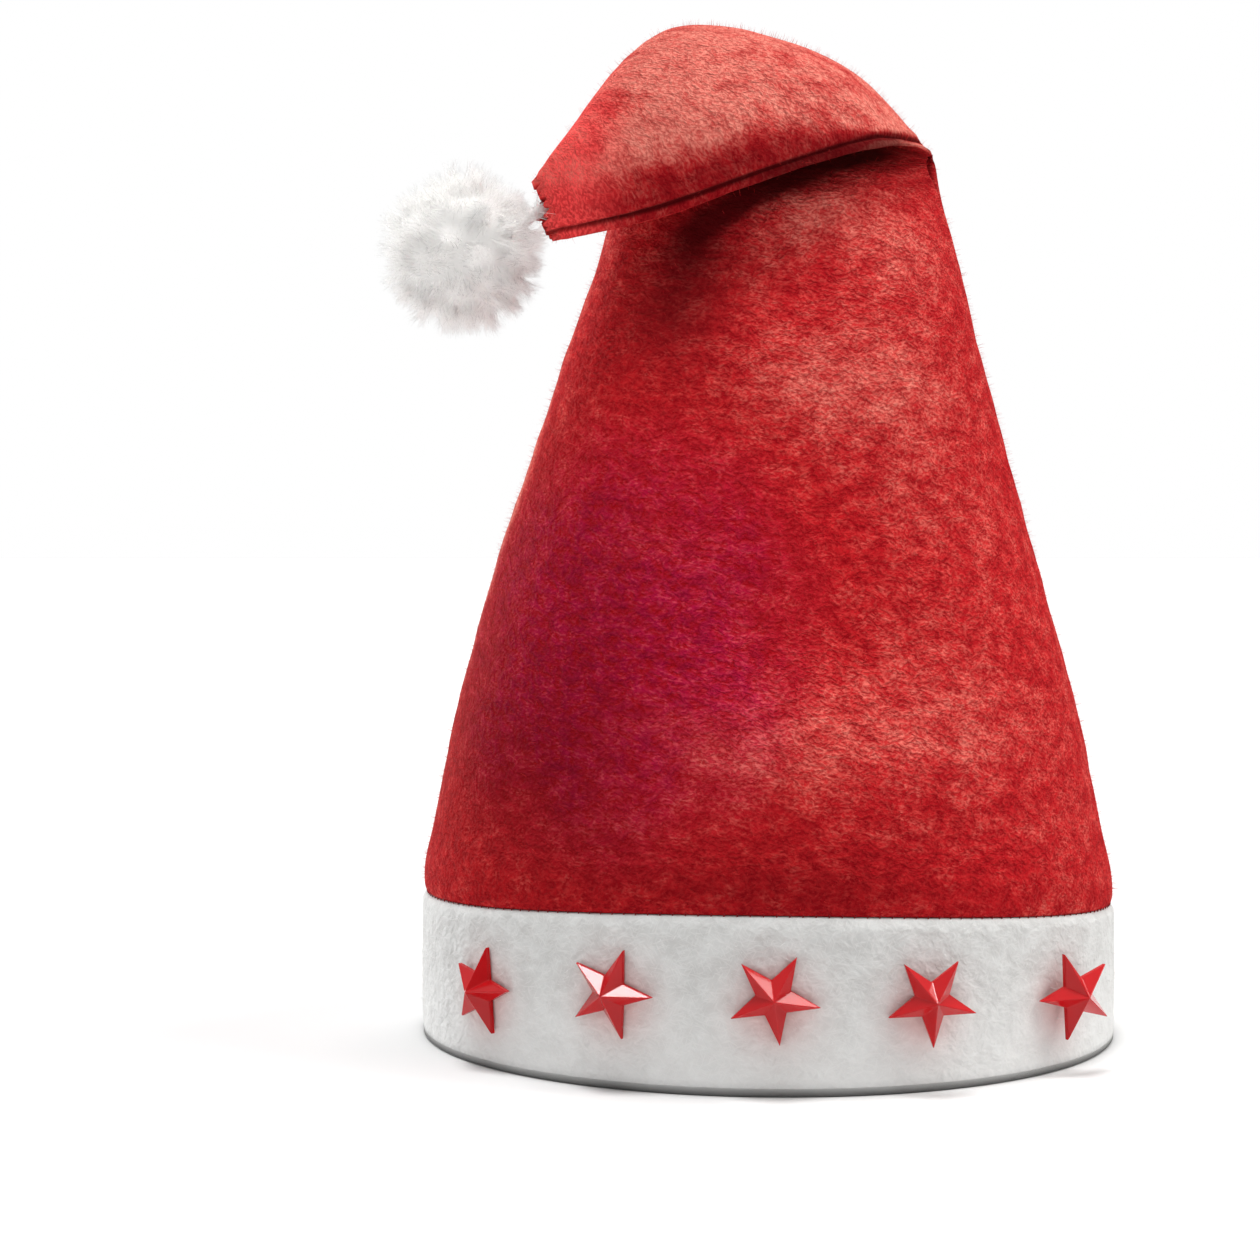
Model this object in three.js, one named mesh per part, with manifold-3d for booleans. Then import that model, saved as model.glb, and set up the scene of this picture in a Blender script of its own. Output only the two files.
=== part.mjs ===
// A light-up Christmas hat of red felt that stands on its white felt band. The long tip is folded forward
// over the front and points to the left, with a white pompom sewn into its cut end. Faceted plastic stars sit
// on the front of the band, each over a small lamp whose stem passes through the felt.
// Millimetres, +Z up, the front of the hat towards -Y.
import * as THREE from 'three';
import { mergeVertices } from 'three/addons/utils/BufferGeometryUtils.js';
import Module from 'manifold-3d';

const wasm = await Module();
wasm.setup();

// Felt and fit
const crownWall = 2;
const bandWall = 2.4;
const gap = 0.3;

// The band, 58 cm round. Its top edge is higher at front and back than at the sides, and higher on the left.
const bandRadius = 92;
const bandHeight = 38.4;
const bandCrest = 4.1;
const bandLean = 1.1;
const bandColumns = 64;
const bandProfile = [
  { share: 0, swell: -0.5 },
  { share: 0.04, swell: 0 },
  { share: 0.5, swell: 0.3 },
  { share: 0.95, swell: 0 },
  { share: 1, swell: -0.6 },
];

// The upright part of the crown, from the hem that is turned in behind the band to where the fold begins:
// the distance of each side seam and of each panel's middle from the hat's axis, and the rows of facets up to
// the next section
const bodySections = [
  { z: 26, right: 89.2, left: 89.2, back: 89.2, front: 89.2, steps: 1 },
  { z: 38.8, right: 89.2, left: 89.2, back: 89.2, front: 89.2, steps: 1 },
  { z: 39.7, right: 91, left: 91, back: 91, front: 91, steps: 1 },
  { z: 46, right: 91.4, left: 91.6, back: 91.4, front: 91.4, steps: 2 },
  { z: 59, right: 88.5, left: 88.7, back: 88.2, front: 88.2, steps: 3 },
  { z: 94, right: 80.4, left: 80.6, back: 79, front: 79, steps: 4 },
  { z: 150, right: 63.8, left: 63.6, back: 62, front: 62, steps: 4 },
  { z: 206, right: 50, left: 44.8, back: 44, front: 42, steps: 2 },
];

// The fold and the flap, up to the cut end of the tip: where the two seams pass, how far each panel stands
// off the line between them, and how the panels come to the right and the left seam, 1 as a round end and
// more as a flat one
const foldSections = [
  { right: [45.6, -2, 223], left: [-39.3, 3, 227], back: 37, front: 28, pinch: [1.3, 1], steps: 2 },
  { right: [43.8, -4.5, 230.5], left: [-33.8, 5, 246], back: 28, front: 12, pinch: [1.8, 0.95], steps: 2 },
  { right: [43, -7, 232.2], left: [-31, 5, 256], back: 20, front: 5, pinch: [2.1, 0.85], steps: 2 },
  { right: [41.2, -11, 233], left: [-28.5, 3.5, 261], back: 14.6, front: 3.5, pinch: [2.5, 0.8], steps: 2 },
  { right: [36.8, -19, 233], left: [-29, 0, 262.3], back: 13.4, front: 3.2, pinch: [2.3, 0.85], steps: 2 },
  { right: [26, -31, 231], left: [-33, -6, 260], back: 14, front: 3.4, pinch: [1.8, 0.95], steps: 3 },
  { right: [3, -41, 223], left: [-41, -14, 251], back: 13, front: 4, pinch: [1.3, 1], steps: 3 },
  { right: [-28, -39, 213], left: [-50.6, -22, 237], back: 10, front: 4.4, pinch: [1.2, 1], steps: 3 },
  { right: [-57, -31, 207], left: [-61, -28, 223.4], back: 4.4, front: 4.4, pinch: [1, 1], steps: 1 },
];
const crownColumns = 44;
const bandRiseFade = { from: 50, to: 110 };

// Broad dents and swellings of the two panels below the fold: where the middle lies across and up the hat,
// how wide and tall it is, and how far it stands out (less than 0 for a hollow)
const frontDents = [
  { x: 22, z: 161, wide: 26, tall: 20, out: 2.6 },
  { x: 12, z: 105, wide: 32, tall: 19, out: -4 },
  { x: 30, z: 76, wide: 40, tall: 15, out: 2.8 },
  { x: -15, z: 206, wide: 26, tall: 22, out: -8 },
  { x: -28, z: 112, wide: 22, tall: 28, out: 2.4 },
  { x: -62, z: 66, wide: 18, tall: 14, out: -2.4 },
];
const backDents = [
  { x: -20, z: 142, wide: 26, tall: 24, out: -2.6 },
  { x: 26, z: 92, wide: 30, tall: 20, out: -2.2 },
  { x: -34, z: 76, wide: 30, tall: 16, out: 1.8 },
  { x: 14, z: 190, wide: 20, tall: 22, out: 1.5 },
];

// The stars: angle round the band from the front towards the right, height of the middle above the table, how
// far each is rolled from having one point straight up, how far it is turned aside from facing straight
// outwards, and how far it then stands off the band on its lamp's stem
const stars = [
  { angle: -51.8, height: 19.5, roll: -11.9, turn: 0, lift: 0 },
  { angle: -26.4, height: 23.2, roll: -19.2, turn: 0, lift: 0 },
  { angle: -1.9, height: 23.6, roll: -28.8, turn: 0, lift: 0 },
  { angle: 21.3, height: 22.3, roll: -34.3, turn: -13, lift: 1.9 },
  { angle: 48.9, height: 19.3, roll: 21.2, turn: -20, lift: 3.4 },
];
const starBack = bandRadius + Math.max(...bandProfile.map(({ swell }) => swell)) + gap;
const starRadius = 11.2;
const starWaist = 4.4;
const starRim = 1.2;
const starApex = 6;
const starWall = 1;

// The lamps inside the stars
const lampRadius = 1.5;
const lampHeight = 3.2;
const lampFlange = { radius: 1.9, height: 0.8 };
const lampStem = { radius: 0.9, length: 5 };
const lampSides = 8;
const stemHole = 1.3;

// The pompom: a head, locks of fur that stand out of it, and the sewn neck that goes into the tip
const pompomCentre = new THREE.Vector3(-79.7, -27.2, 204.7);
const pompomHead = 16;
const pompomRadius = 21;
const lockCount = 52;
const lockWidth = 4.7;
const lockSides = 5;
const neckRadius = 2;
const neckDepth = 7;

const materials = {
  redFelt: new THREE.MeshStandardMaterial({ color: 0xb5161c, roughness: 0.95, metalness: 0 }),
  whiteFelt: new THREE.MeshStandardMaterial({ color: 0xe4e5e3, roughness: 0.95, metalness: 0 }),
  redPlastic: new THREE.MeshStandardMaterial({ color: 0xc3161b, roughness: 0.15, metalness: 0 }),
  lampResin: new THREE.MeshStandardMaterial({ color: 0xe8c9c4, roughness: 0.2, metalness: 0 }),
  whiteFur: new THREE.MeshStandardMaterial({ color: 0xf1f0ee, roughness: 1, metalness: 0 }),
};

// A closed piece as a solid that can be joined or cut
function solidFrom(geometry) {
  const bare = geometry.clone();
  bare.deleteAttribute('normal');
  bare.deleteAttribute('uv');
  const merged = mergeVertices(bare, 1e-4);
  return new wasm.Manifold(new wasm.Mesh({
    numProp: 3,
    vertProperties: new Float32Array(merged.attributes.position.array),
    triVerts: new Uint32Array(merged.index.array),
  }));
}

function geometryFrom(solid) {
  const mesh = solid.getMesh();
  const geometry = new THREE.BufferGeometry();
  geometry.setAttribute('position', new THREE.BufferAttribute(mesh.vertProperties, 3));
  geometry.setIndex(new THREE.BufferAttribute(mesh.triVerts, 1));
  geometry.computeVertexNormals();
  return geometry;
}

// A wall of felt between an outer and an inner skin, open at both ends. Each skin is a list of rows of
// points, and each row runs anticlockwise seen from the far end.
function wallGeometry(outerRows, innerRows) {
  const rows = outerRows.length;
  const columns = outerRows[0].length;
  const points = [...outerRows, ...innerRows].flat();
  const outer = (row, column) => row * columns + (column % columns);
  const inner = (row, column) => outer(rows + row, column);
  const index = [];
  const quad = (a, b, c, d) => index.push(a, b, c, a, c, d);
  for (let column = 0; column < columns; column++) {
    const next = column + 1;
    for (let row = 0; row < rows - 1; row++) {
      quad(outer(row, column), outer(row, next), outer(row + 1, next), outer(row + 1, column));
      quad(inner(row, next), inner(row, column), inner(row + 1, column), inner(row + 1, next));
    }
    const end = rows - 1;
    quad(inner(0, column), inner(0, next), outer(0, next), outer(0, column));
    quad(outer(end, column), outer(end, next), inner(end, next), inner(end, column));
  }
  const geometry = new THREE.BufferGeometry().setFromPoints(points);
  geometry.setIndex(index);
  geometry.computeVertexNormals();
  return geometry;
}

// How far the band's top edge lies above its mean height, by direction from the hat's axis
function bandRise(x, y) {
  const away = Math.hypot(x, y);
  return bandCrest * (y * y - x * x) / (away * away) - bandLean * x / away;
}

function bandGeometry() {
  const skin = (inset) => bandProfile.map(({ share, swell }) =>
    Array.from({ length: bandColumns }, (_, column) => {
      const angle = 2 * Math.PI * column / bandColumns;
      const radius = inset ? bandRadius - inset : bandRadius + swell;
      const [x, y] = [radius * Math.cos(angle), radius * Math.sin(angle)];
      return new THREE.Vector3(x, y, share * (bandHeight + bandRise(x, y)));
    }));
  let band = solidFrom(wallGeometry(skin(0), skin(bandWall)));
  for (const star of stars) {
    const hole = new THREE.CylinderGeometry(stemHole, stemHole, 4 * bandWall, lampSides);
    hole.rotateX(Math.PI / 2);
    hole.translate(0, 0, bandRadius - starBack - star.lift - bandWall / 2);
    hole.applyMatrix4(starPlace(star));
    band = band.subtract(solidFrom(hole));
  }
  return geometryFrom(band);
}

// The seams and the panels' stand-off as smooth curves through the sections
const crownSections = [
  ...bodySections.map(({ z, right, left, back, front, steps }) =>
    ({ right: [right, 0, z], left: [-left, 0, z], back, front, pinch: [1, 1], steps })),
  ...foldSections,
];
const throughSections = (column) =>
  new THREE.CatmullRomCurve3(crownSections.map((section) => new THREE.Vector3(...column(section))));
const rightSeam = throughSections(({ right }) => right);
const leftSeam = throughSections(({ left }) => left);
const standOff = throughSections(({ back, front }) => [back, front, 0]);
const pinches = throughSections(({ pinch }) => [...pinch, 0]);

const seamMiddle = (t) => rightSeam.getPoint(t).add(leftSeam.getPoint(t)).multiplyScalar(0.5);

// How far a panel's dents stand out at a place across and up the hat
function dentsAt(dents, x, z) {
  return dents.reduce((sum, dent) =>
    sum + dent.out * Math.exp(-(((x - dent.x) / dent.wide) ** 2) - ((z - dent.z) / dent.tall) ** 2), 0);
}

// One closed section of the crown, inset from its outer face. Angle 0 is the right seam and a quarter turn is
// the middle of the back panel.
function crownRow(t, inset) {
  const middle = seamMiddle(t);
  const half = rightSeam.getPoint(t).sub(middle);
  const step = 1e-3;
  const onward = seamMiddle(Math.min(t + step, 1)).sub(seamMiddle(Math.max(t - step, 0)));
  const toBack = onward.cross(half).normalize();
  const { x: back, y: front } = standOff.getPoint(t);
  const { x: rightPinch, y: leftPinch } = pinches.getPoint(t);
  const upright = THREE.MathUtils.clamp(bodySections.length - t * (crownSections.length - 1), 0, 1);
  half.multiplyScalar(1 - inset / half.length());
  return Array.from({ length: crownColumns }, (_, column) => {
    const angle = 2 * Math.PI * column / crownColumns;
    const [height, dents] = angle < Math.PI ? [back, backDents] : [-front, frontDents];
    const pinch = THREE.MathUtils.lerp(leftPinch, rightPinch, (1 + Math.cos(angle)) / 2);
    const swell = Math.abs(Math.sin(angle)) ** pinch;
    const point = middle.clone().addScaledVector(half, Math.cos(angle));
    const out = Math.abs(height) - inset + upright * dentsAt(dents, point.x, point.z);
    point.addScaledVector(toBack, Math.sign(height) * out * swell);
    const fade = THREE.MathUtils.mapLinear(point.z, bandRiseFade.from, bandRiseFade.to, 1, 0);
    point.z += THREE.MathUtils.clamp(fade, 0, 1) * bandRise(point.x, point.y);
    return point;
  });
}

function crownGeometry() {
  const spans = crownSections.length - 1;
  const places = crownSections.flatMap(({ steps }, section) =>
    Array.from({ length: steps }, (_, step) => (section + step / steps) / spans));
  const outerRows = places.map((t) => crownRow(t, 0));
  const innerRows = places.map((t) => crownRow(t, crownWall));
  return wallGeometry(outerRows, innerRows);
}

// The place of a star: the middle of its back, facing outwards
function starPlace({ angle, height, roll, turn, lift }) {
  const { degToRad } = THREE.MathUtils;
  const facing = new THREE.Euler(Math.PI / 2, 0, degToRad(roll));
  return new THREE.Matrix4().makeRotationZ(degToRad(angle))
    .multiply(new THREE.Matrix4().makeTranslation(0, -starBack - lift, height))
    .multiply(new THREE.Matrix4().makeRotationZ(degToRad(turn)))
    .multiply(new THREE.Matrix4().makeRotationFromEuler(facing));
}

// Ten corners of a five-pointed star at one level, points and waists in turn
function starCorners(points, waists, level) {
  return Array.from({ length: 10 }, (_, corner) => {
    const angle = Math.PI / 2 + corner * Math.PI / 5;
    const radius = corner % 2 ? waists : points;
    return new THREE.Vector3(radius * Math.cos(angle), radius * Math.sin(angle), level);
  });
}

// A hollow faceted star, open at the back, which lies at level 0
function starGeometry() {
  const [point, waist] = starCorners(starRadius, starWaist, 0);
  const edgeDistance = starRadius * starWaist * Math.sin(Math.PI / 5) / point.distanceTo(waist);
  const inside = 1 - starWall / edgeDistance;
  const corners = [
    ...starCorners(starRadius, starWaist, 0),
    ...starCorners(starRadius, starWaist, starRim),
    ...starCorners(starRadius * inside, starWaist * inside, 0),
    ...starCorners(starRadius * inside, starWaist * inside, starRim * inside),
    new THREE.Vector3(0, 0, starApex),
    new THREE.Vector3(0, 0, starApex - starWall * 1.5),
  ];
  const [base, rim, innerBase, innerRim, apex, innerApex] = [0, 10, 20, 30, 40, 41];
  const index = [];
  const quad = (a, b, c, d) => index.push(a, b, c, a, c, d);
  for (let corner = 0; corner < 10; corner++) {
    const next = (corner + 1) % 10;
    quad(base + corner, base + next, rim + next, rim + corner);
    index.push(rim + corner, rim + next, apex);
    quad(innerBase + next, innerBase + corner, innerRim + corner, innerRim + next);
    index.push(innerRim + next, innerRim + corner, innerApex);
    quad(base + next, base + corner, innerBase + corner, innerBase + next);
  }
  const geometry = new THREE.BufferGeometry().setFromPoints(corners);
  geometry.setIndex(index);
  return geometry.toNonIndexed();
}

// A round lamp with its flange at level 0, its dome above and its stem below
function lampGeometry(stemLength) {
  const profile = [
    [0, -stemLength],
    [lampStem.radius, -stemLength],
    [lampStem.radius, 0],
    [lampFlange.radius, 0],
    [lampFlange.radius, lampFlange.height],
    [lampRadius, lampFlange.height],
    [lampRadius, lampHeight - lampRadius],
    [lampRadius * Math.SQRT1_2, lampHeight - lampRadius * (1 - Math.SQRT1_2)],
    [0, lampHeight],
  ];
  const points = profile.map(([radius, level]) => new THREE.Vector2(radius, level));
  return new THREE.LatheGeometry(points, lampSides).rotateX(Math.PI / 2);
}

// A blunt tuft of fur along +Y, from half its length outwards
function lockGeometry(length) {
  const profile = [[0, 0.5], [1, 0.66], [0.75, 0.92], [0, 1]];
  const points = profile.map(([across, along]) => new THREE.Vector2(across * lockWidth, along * length));
  return new THREE.LatheGeometry(points, lockSides);
}

function pompomGeometry() {
  const up = new THREE.Vector3(0, 1, 0);
  const golden = Math.PI * (3 - Math.sqrt(5));
  let pompom = solidFrom(new THREE.IcosahedronGeometry(pompomHead, 2));
  for (let lock = 0; lock < lockCount; lock++) {
    const level = 1 - 2 * (lock + 0.5) / lockCount;
    const ring = Math.sqrt(1 - level * level);
    const towards = new THREE.Vector3(ring * Math.cos(golden * lock), ring * Math.sin(golden * lock), level);
    const length = pompomRadius * (0.96 + 0.04 * Math.sin(2.4 * lock));
    const tuft = lockGeometry(length);
    tuft.applyQuaternion(new THREE.Quaternion().setFromUnitVectors(up, towards));
    pompom = pompom.add(solidFrom(tuft));
  }
  const mouth = seamMiddle(1).sub(pompomCentre);
  const neck = new THREE.CylinderGeometry(neckRadius, neckRadius, mouth.length() + neckDepth, lampSides);
  neck.translate(0, (mouth.length() + neckDepth) / 2, 0);
  neck.applyQuaternion(new THREE.Quaternion().setFromUnitVectors(up, mouth.normalize()));
  return geometryFrom(pompom.add(solidFrom(neck)));
}

function addPiece(parent, name, geometry, material) {
  const mesh = new THREE.Mesh(geometry, material.clone());
  mesh.name = name;
  parent.add(mesh);
  return mesh;
}

const hat = new THREE.Group();
addPiece(hat, 'crown', crownGeometry(), materials.redFelt);
addPiece(hat, 'band', bandGeometry(), materials.whiteFelt);
addPiece(hat, 'pompom', pompomGeometry(), materials.whiteFur).position.copy(pompomCentre);

// Each star and its lamp share one place on the band
stars.forEach((star, place) => {
  const seat = new THREE.Group();
  seat.applyMatrix4(starPlace(star));
  hat.add(seat);
  addPiece(seat, `star_${place + 1}`, starGeometry(), materials.redPlastic);
  addPiece(seat, `lamp_${place + 1}`, lampGeometry(lampStem.length + star.lift), materials.lampResin);
});

// The origin is the middle of the hat's footprint, on the table
const footprint = new THREE.Box3().setFromObject(hat).getCenter(new THREE.Vector3());
hat.position.set(-footprint.x, -footprint.y, 0);

export default hat;
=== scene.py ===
# Light-up santa hat: felt crown and band, plastic stars over small lamps, and a fur pompom
import math

import bmesh
import bpy
import numpy as np
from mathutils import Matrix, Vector, noise


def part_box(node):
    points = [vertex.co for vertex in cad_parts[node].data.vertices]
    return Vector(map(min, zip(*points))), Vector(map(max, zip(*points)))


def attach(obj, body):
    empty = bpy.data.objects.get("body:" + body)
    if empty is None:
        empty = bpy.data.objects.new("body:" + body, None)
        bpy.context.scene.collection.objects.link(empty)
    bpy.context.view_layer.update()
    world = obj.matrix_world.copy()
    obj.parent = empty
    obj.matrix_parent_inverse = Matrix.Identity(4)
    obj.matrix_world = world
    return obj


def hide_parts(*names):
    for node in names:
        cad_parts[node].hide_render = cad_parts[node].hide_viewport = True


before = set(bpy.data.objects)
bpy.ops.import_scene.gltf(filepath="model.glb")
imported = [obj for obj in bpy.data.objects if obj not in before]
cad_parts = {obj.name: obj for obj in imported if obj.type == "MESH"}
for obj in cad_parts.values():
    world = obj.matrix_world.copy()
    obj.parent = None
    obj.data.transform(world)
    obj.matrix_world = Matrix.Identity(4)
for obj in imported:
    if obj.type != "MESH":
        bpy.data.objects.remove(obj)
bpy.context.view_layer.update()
mm = 0.001
starNumbers = range(1, 6)
bandLow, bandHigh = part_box("band")
hatAxis = np.array([(bandLow.x + bandHigh.x) / 2, (bandLow.y + bandHigh.y) / 2, 0.0])
print("frame loaded, hat axis at", hatAxis.round(4))


# small helpers for meshes

def shadeSmooth(mesh):
    mesh.polygons.foreach_set("use_smooth", [True] * len(mesh.polygons))


def meshFrom(name, points, faces):
    mesh = bpy.data.meshes.new(name)
    mesh.from_pydata([tuple(p) for p in points], [], faces)
    shadeSmooth(mesh)
    mesh.update()
    return mesh


def pieceFrom(name, mesh, *materials):
    piece = bpy.data.objects.new(name, mesh)
    bpy.context.scene.collection.objects.link(piece)
    for material in materials:
        mesh.materials.append(material)
    return piece


def pointValues(mesh, name, values):
    flat = np.ascontiguousarray(values, dtype=np.float32).ravel()
    mesh.attributes.new(name, "FLOAT", "POINT").data.foreach_set("value", flat)


def feltArea(mesh):
    return round(sum(p.area for p in mesh.polygons) / 2, 4)  # one side of the felt, in square metres


# the cloth's own map, in metres, one corner of a face at a time
def cutMap(mesh, acrossOf, alongOf):
    corners = np.empty(len(mesh.loops), dtype=np.int32)
    mesh.loops.foreach_get("vertex_index", corners)
    faceOf = np.repeat(np.arange(len(mesh.polygons)), 4)
    flat = np.stack([acrossOf(faceOf, corners), alongOf(faceOf, corners)], 1) * mm
    mesh.uv_layers.new(name="cut").data.foreach_set("uv", flat.astype(np.float32).ravel())


def ramp(value, start, over):
    return np.clip((value - start) / over, 0, 1)


def hill(value, middle, width):
    return np.exp(-((value - middle) / width) ** 2)


# small helpers for node trees

def put(tree, kind, inputs=None, **settings):
    node = tree.nodes.new(kind)
    for key, value in settings.items():
        setattr(node, key, value)
    for key, value in (inputs or {}).items():
        if isinstance(value, bpy.types.NodeSocket):
            tree.links.new(value, node.inputs[key])
        else:
            node.inputs[key].default_value = value
    return node


def math2(tree, operation, a, b=0.0, clamp=False):
    return put(tree, "ShaderNodeMath", {0: a, 1: b}, operation=operation, use_clamp=clamp).outputs[0]


def times(tree, a, b):
    return math2(tree, "MULTIPLY", a, b)


def plus(tree, a, b):
    return math2(tree, "ADD", a, b)


def minus(tree, a, b):
    return math2(tree, "SUBTRACT", a, b)


def oneOver(tree, value):
    return math2(tree, "DIVIDE", 1.0, value)


def linear(tree, value, growth, start):
    return plus(tree, times(tree, value, growth), start)


def mapTo(tree, value, low, high, bottom=0.0, top=1.0, kind="SMOOTHSTEP"):
    ends = {0: value, 1: low, 2: high, 3: bottom, 4: top}
    return put(tree, "ShaderNodeMapRange", ends, interpolation_type=kind).outputs[0]


def vector2(tree, operation, a, b):
    return put(tree, "ShaderNodeVectorMath", {0: a, 1: b}, operation=operation).outputs[0]


def scaled(tree, vector, factor):
    return put(tree, "ShaderNodeVectorMath", {0: vector, "Scale": factor}, operation="SCALE").outputs[0]


def vectorOf(tree, parts):
    return put(tree, "ShaderNodeCombineXYZ", parts).outputs[0]


def cloudNoise(tree, place, scale, detail, rough=0.5, dimensions="3D"):
    inputs = {"Vector": place, "Scale": scale, "Detail": detail, "Roughness": rough}
    return put(tree, "ShaderNodeTexNoise", inputs, noise_dimensions=dimensions).outputs


# colour noise as a vector that swings evenly to all sides
def driftNoise(tree, place, scale, reach, dimensions="3D"):
    tint = cloudNoise(tree, place, scale, 1.0, dimensions=dimensions)["Color"]
    return scaled(tree, vector2(tree, "SUBTRACT", tint, (0.5, 0.5, 0.5)), reach)


def newGroup(name, kind, inputs, outputs):
    tree = bpy.data.node_groups.new(name, kind)
    for label, socket, value in inputs:
        made = tree.interface.new_socket(label, in_out="INPUT", socket_type="NodeSocket" + socket)
        if value is not None:
            made.default_value = value
    for label, socket in outputs:
        tree.interface.new_socket(label, in_out="OUTPUT", socket_type="NodeSocket" + socket)
    return tree, tree.nodes.new("NodeGroupInput").outputs, tree.nodes.new("NodeGroupOutput").inputs


def makePlain(piece):
    depsgraph = bpy.context.evaluated_depsgraph_get()
    mesh = bpy.data.meshes.new_from_object(
        piece.evaluated_get(depsgraph), preserve_all_data_layers=True, depsgraph=depsgraph)
    worn = piece.data
    piece.modifiers.clear()
    piece.data = mesh
    bpy.data.meshes.remove(worn)
    mesh.name = piece.name
    print(piece.name, "has", sum(len(p.vertices) - 2 for p in mesh.polygons), "triangles")


def growNodes(piece, tree, values):
    modifier = piece.modifiers.new(tree.name, "NODES")
    modifier.node_group = tree
    for item in tree.interface.items_tree:
        if item.in_out == "INPUT" and item.name in values:
            modifier[item.identifier] = values[item.name]
    makePlain(piece)
    return piece


# matted felt on the cloth's own map: sizes in mm or as shares of a group's input, turns in radians
feltWeave = {
    "swayScale": 0.12, "sway": 2.0, "strandStretch": 9.0,
    "strandLayers": ((0.06, 1.0), (0.38, 0.8), (-0.33, 0.9), (0.95, 0.7), (-1.1, 0.7)),  # turn and width
    "flakeTurns": (-0.5, 0.45), "flakeSize": 0.6, "flakeStretch": 1.7,
    "lumpTurn": 0.12, "lumpSize": 1.7, "mottleTurn": 0.2, "mottleSize": 4.0, "lumpStretch": 1.5,
    "speckTurn": 0.15, "speckSize": 0.75, "speckStretch": 2.2, "speckClusters": (1.2, 0.2),
    "lumpHeight": 0.55,
    # where each noise starts to show and where it is full
    "strandCut": (0.57, 0.78), "flakeCut": (0.36, 0.58), "lumpCut": (0.25, 0.75), "mottleCut": (0.32, 0.68),
    "speckCut": (0.54, 0.72), "blotchCut": (0.3, 0.7),
}


# crossing flakes, lumps drawn out along the cloth, wispy strands, clustered specks and broad blotches
def feltFibreGroup():
    weave = feltWeave
    labels = ("Strands", "Specks", "Flakes", "Lumps", "Mottle", "Blotches", "Height")
    tree, given, made = newGroup(
        "feltFibres", "ShaderNodeTree",
        [("Vector", "Vector", None), ("Strand Width", "Float", 0.5), ("Lump Size", "Float", 2.0),
         ("Blotch Size", "Float", 26.0)],
        [(label, "Float") for label in labels])
    flat = scaled(tree, given["Vector"], 1 / mm)
    place = vector2(tree, "ADD", flat, driftNoise(tree, flat, weave["swayScale"], weave["sway"], "2D"))

    def drawnNoise(turn, across, stretch, detail=1.0, rough=0.5):
        turned = put(tree, "ShaderNodeVectorRotate", {"Vector": place, "Angle": turn}, rotation_type="Z_AXIS")
        fine = oneOver(tree, across)
        size = vectorOf(tree, {0: math2(tree, "DIVIDE", fine, stretch), 1: fine})
        drawn = vector2(tree, "MULTIPLY", turned.outputs[0], size)
        return cloudNoise(tree, drawn, 1.0, detail, rough, "2D")[0]

    def lumpNoise(turn, size, stretch, detail=1.0, rough=0.5):
        return drawnNoise(turn, times(tree, given["Lump Size"], size), stretch, detail, rough)

    strands = None
    for turn, width in weave["strandLayers"]:
        thread = drawnNoise(turn, times(tree, given["Strand Width"], width), weave["strandStretch"])
        ridge = mapTo(tree, thread, *weave["strandCut"])
        strands = ridge if strands is None else math2(tree, "MAXIMUM", strands, ridge)
    crossing = [lumpNoise(turn, weave["flakeSize"], weave["flakeStretch"], rough=0.4)
                for turn in weave["flakeTurns"]]
    small = math2(tree, "MINIMUM", *crossing)
    flakes = mapTo(tree, small, *weave["flakeCut"])
    lumps = lumpNoise(weave["lumpTurn"], weave["lumpSize"], weave["lumpStretch"])
    lumps = mapTo(tree, lumps, *weave["lumpCut"])
    mottle = lumpNoise(weave["mottleTurn"], weave["mottleSize"], weave["lumpStretch"], 3.0, 0.55)
    mottle = mapTo(tree, mottle, *weave["mottleCut"], kind="LINEAR")
    specks = drawnNoise(weave["speckTurn"], weave["speckSize"], weave["speckStretch"])
    specks = mapTo(tree, specks, *weave["speckCut"])
    specks = times(tree, specks, linear(tree, mottle, *weave["speckClusters"]))
    blotches = cloudNoise(tree, flat, oneOver(tree, given["Blotch Size"]), 2.0, dimensions="2D")[0]
    blotches = mapTo(tree, blotches, *weave["blotchCut"], kind="LINEAR")
    height = plus(tree, small, times(tree, lumps, weave["lumpHeight"]))
    for label, value in zip(labels, (strands, specks, flakes, lumps, mottle, blotches, height)):
        tree.links.new(value, made[label])
    return tree


feltFibres = feltFibreGroup()


def blankMaterial(name, constants):
    material = bpy.data.materials.new(name)
    material.use_nodes = True
    tree = material.node_tree
    shader = tree.nodes["Principled BSDF"]
    for key, value in constants.items():
        shader.inputs[key].default_value = value
    return material, tree, shader.inputs


def mixColour(tree, factor, a, b):
    return put(tree, "ShaderNodeMix", {0: factor, 6: a, 7: b}, data_type="RGBA").outputs[2]


def colour(r, g, b):
    return (r, g, b, 1.0)


def grey(value):
    return colour(value, value, value)


def objectPlace(tree):
    return put(tree, "ShaderNodeTexCoord").outputs["Object"]


def feltNodes(tree, sizes):
    felt = put(tree, "ShaderNodeGroup", node_tree=feltFibres)
    tree.links.new(put(tree, "ShaderNodeUVMap", uv_map="cut").outputs[0], felt.inputs["Vector"])
    for key, value in sizes.items():
        felt.inputs[key].default_value = value
    return felt.outputs


def feltAttribute(tree, name):
    return put(tree, "ShaderNodeAttribute", attribute_name=name).outputs["Fac"]


def bumpFrom(tree, height, strength, depth):
    return put(tree, "ShaderNodeBump", {"Strength": strength, "Distance": depth, "Height": height}).outputs[0]


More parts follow.
